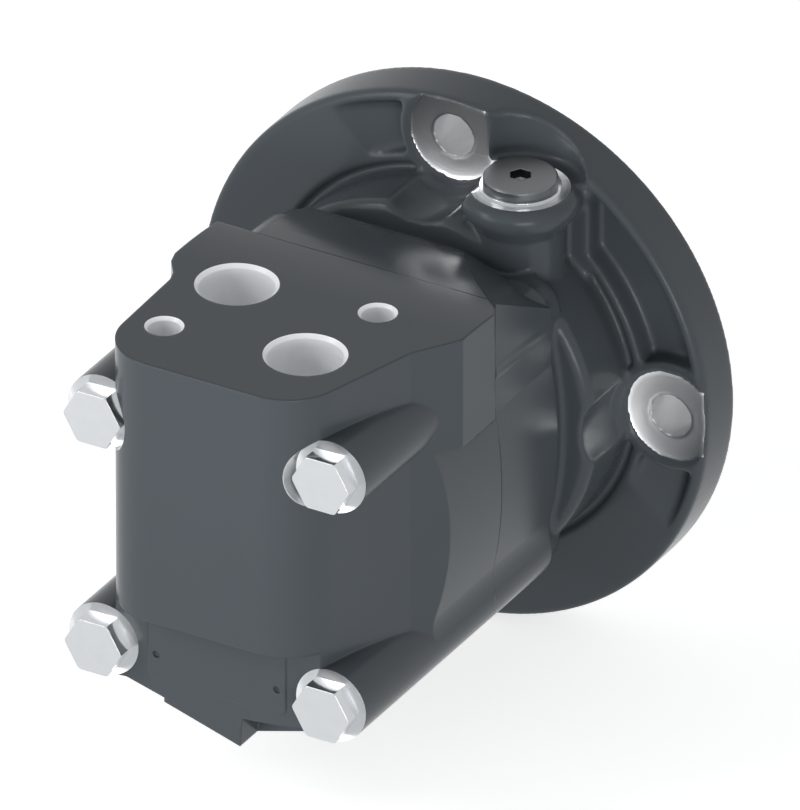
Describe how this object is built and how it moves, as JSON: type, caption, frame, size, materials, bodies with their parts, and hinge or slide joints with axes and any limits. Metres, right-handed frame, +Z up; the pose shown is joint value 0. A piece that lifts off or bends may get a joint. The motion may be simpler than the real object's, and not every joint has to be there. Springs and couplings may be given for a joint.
{
  "type": "orbital hydraulic motor",
  "caption": "Low-speed orbital hydraulic motor with a round mounting flange, keyed output shaft, rear port tower, drain plug and roller gear set with a rotating disc valve.",
  "frame": {"origin": "centre of the flange's front mounting face, on the shaft axis", "axes": "+Y along the shaft axis in the output direction, +Z up along the ports' axes, +X to the right seen from the rear"},
  "size_m": [0.1718, 0.2365, 0.1718],
  "materials": {
    "paint": "satin dark slate-grey paint over cast iron",
    "zinc": "bright zinc-plated steel",
    "dark_plug": "black-oxide steel",
    "ground_steel": "ground hardened steel",
    "dark_steel": "plain machined steel",
    "bronze": "bronze",
    "rubber": "black nitrile rubber"
  },
  "bodies": {
    "housing": {"front_housing": "paint", "wear_plate": "paint", "stator_ring": "paint", "channel_plate": "paint", "port_housing": "paint", "housing_bolts": "zinc", "drain_plug": "dark_plug", "drain_washer": "zinc", "bearing_cup_front": "ground_steel", "bearing_cup_rear": "ground_steel", "shaft_seal": "rubber", "seal_retainer": "dark_steel", "dust_seal": "rubber", "section_seals": "rubber", "balance_plate": "ground_steel", "balance_springs": "ground_steel", "check_seats": "dark_steel", "check_stops": "dark_steel"},
    "shaft": {"output_shaft": "ground_steel", "shaft_key": "dark_steel", "bearing_cone_front": "ground_steel", "bearing_cone_rear": "ground_steel", "lock_nut": "dark_steel"},
    "front_rollers": {"bearing_rollers_front": "ground_steel", "bearing_cage_front": "bronze"},
    "rear_rollers": {"bearing_rollers_rear": "ground_steel", "bearing_cage_rear": "bronze"},
    "orbit_carrier": {"drive_spacer": "dark_steel"},
    "rotor": {"rotor": "ground_steel"},
    "drive_link": {"drive_link": "dark_steel"},
    "valve_drive": {"valve_drive": "dark_steel"},
    "disc_valve": {"disc_valve": "bronze"},
    "check_ball_a": {"check_ball_a": "ground_steel"},
    "check_ball_b": {"check_ball_b": "ground_steel"},
    "roller_1": {"roller_1": "ground_steel"},
    "roller_2": {"roller_2": "ground_steel"},
    "roller_3": {"roller_3": "ground_steel"},
    "roller_4": {"roller_4": "ground_steel"},
    "roller_5": {"roller_5": "ground_steel"},
    "roller_6": {"roller_6": "ground_steel"},
    "roller_7": {"roller_7": "ground_steel"}
  },
  "joints": [
    {"name": "shaft_spin", "type": "hinge", "parent": "housing", "child": "shaft", "pos_m": [0, 0, 0], "axis": [0, 1, 0], "continuous": true},
    {"name": "front_bearing_spin", "type": "hinge", "parent": "housing", "child": "front_rollers", "pos_m": [0, 0, 0], "axis": [0, 1, 0], "continuous": true},
    {"name": "rear_bearing_spin", "type": "hinge", "parent": "housing", "child": "rear_rollers", "pos_m": [0, 0, 0], "axis": [0, 1, 0], "continuous": true},
    {"name": "rotor_orbit", "type": "hinge", "parent": "housing", "child": "orbit_carrier", "pos_m": [0, -0.062, 0], "axis": [0, 1, 0], "continuous": true},
    {"name": "rotor_spin", "type": "hinge", "parent": "orbit_carrier", "child": "rotor", "pos_m": [0, -0.0619, 0.003], "axis": [0, 1, 0], "continuous": true},
    {"name": "link_spin", "type": "hinge", "parent": "orbit_carrier", "child": "drive_link", "pos_m": [0, -0.009, 0], "axis": [0, 0.9981, -0.0624], "continuous": true},
    {"name": "valve_drive_spin", "type": "hinge", "parent": "orbit_carrier", "child": "valve_drive", "pos_m": [0, -0.093, 0], "axis": [0, 0.9937, 0.1125], "continuous": true},
    {"name": "valve_spin", "type": "hinge", "parent": "housing", "child": "disc_valve", "pos_m": [0, -0.088, 0], "axis": [0, 1, 0], "continuous": true},
    {"name": "roller_1_spin", "type": "hinge", "parent": "housing", "child": "roller_1", "pos_m": [0, -0.0619, 0.033], "axis": [0, 1, 0], "continuous": true},
    {"name": "roller_2_spin", "type": "hinge", "parent": "housing", "child": "roller_2", "pos_m": [0.0258, -0.0619, 0.02058], "axis": [0, 1, 0], "continuous": true},
    {"name": "roller_3_spin", "type": "hinge", "parent": "housing", "child": "roller_3", "pos_m": [0.03217, -0.0619, -0.00734], "axis": [0, 1, 0], "continuous": true},
    {"name": "roller_4_spin", "type": "hinge", "parent": "housing", "child": "roller_4", "pos_m": [0.01432, -0.0619, -0.02973], "axis": [0, 1, 0], "continuous": true},
    {"name": "roller_5_spin", "type": "hinge", "parent": "housing", "child": "roller_5", "pos_m": [-0.01432, -0.0619, -0.02973], "axis": [0, 1, 0], "continuous": true},
    {"name": "roller_6_spin", "type": "hinge", "parent": "housing", "child": "roller_6", "pos_m": [-0.03217, -0.0619, -0.00734], "axis": [0, 1, 0], "continuous": true},
    {"name": "roller_7_spin", "type": "hinge", "parent": "housing", "child": "roller_7", "pos_m": [-0.0258, -0.0619, 0.02058], "axis": [0, 1, 0], "continuous": true},
    {"name": "check_ball_a_lift", "type": "slide", "parent": "housing", "child": "check_ball_a", "axis": [0, 1, 0], "range_m": [0, 0.0015]},
    {"name": "check_ball_b_lift", "type": "slide", "parent": "housing", "child": "check_ball_b", "axis": [0, 1, 0], "range_m": [0, 0.0015]}
  ],
  "couplings": [
    {"joint": "front_bearing_spin", "follows": "shaft_spin", "ratio": 0.4476},
    {"joint": "rear_bearing_spin", "follows": "shaft_spin", "ratio": 0.4476},
    {"joint": "rotor_orbit", "follows": "shaft_spin", "ratio": -6},
    {"joint": "rotor_spin", "follows": "shaft_spin", "ratio": 7},
    {"joint": "link_spin", "follows": "shaft_spin", "ratio": 7},
    {"joint": "valve_drive_spin", "follows": "shaft_spin", "ratio": 7},
    {"joint": "valve_spin", "follows": "shaft_spin", "ratio": 1},
    {"joint": "roller_1_spin", "follows": "shaft_spin", "ratio": -3.7143},
    {"joint": "roller_2_spin", "follows": "shaft_spin", "ratio": -3.7143},
    {"joint": "roller_3_spin", "follows": "shaft_spin", "ratio": -3.7143},
    {"joint": "roller_4_spin", "follows": "shaft_spin", "ratio": -3.7143},
    {"joint": "roller_5_spin", "follows": "shaft_spin", "ratio": -3.7143},
    {"joint": "roller_6_spin", "follows": "shaft_spin", "ratio": -3.7143},
    {"joint": "roller_7_spin", "follows": "shaft_spin", "ratio": -3.7143}
  ]
}
